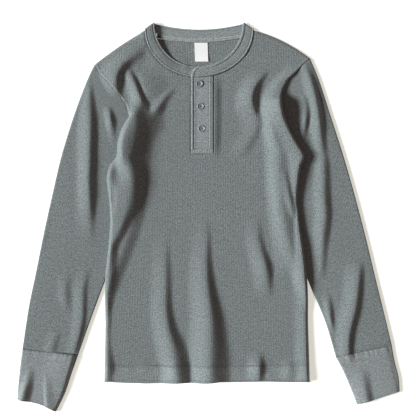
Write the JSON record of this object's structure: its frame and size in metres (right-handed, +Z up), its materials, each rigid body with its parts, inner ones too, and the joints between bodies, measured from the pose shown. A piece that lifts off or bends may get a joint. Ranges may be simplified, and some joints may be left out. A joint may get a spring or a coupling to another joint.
{
  "type": "thermal top",
  "caption": "Long-sleeved thermal henley top laid flat on its back: crew neckband, buttoned placket, ribbed cuffs and turned hem.",
  "frame": {"origin": "centre of the laid-out garment's outline, on the surface it lies on", "axes": "+Z up from the surface through the front, +Y from hem to neck, +X to the right of someone looking down on the front"},
  "size_m": [0.67, 0.682, 0.0249],
  "materials": {
    "knit": "matt grey heather knit in narrow ribs",
    "rib": "matt grey heather fine rib, for neckband, placket and cuffs",
    "tape": "matt grey knitted tape",
    "label": "white woven label, left blank",
    "button": "satin grey button"
  },
  "bodies": {
    "root": {"back_body": "knit", "front_body": "knit", "sleeve_left": "knit", "sleeve_right": "knit", "cuff_left": "rib", "cuff_right": "rib", "neckband": "rib", "placket_top": "rib", "placket_under": "rib", "neck_tape": "tape", "neck_label": "label", "button_1": "button", "button_2": "button", "button_3": "button"}
  },
  "joints": []
}
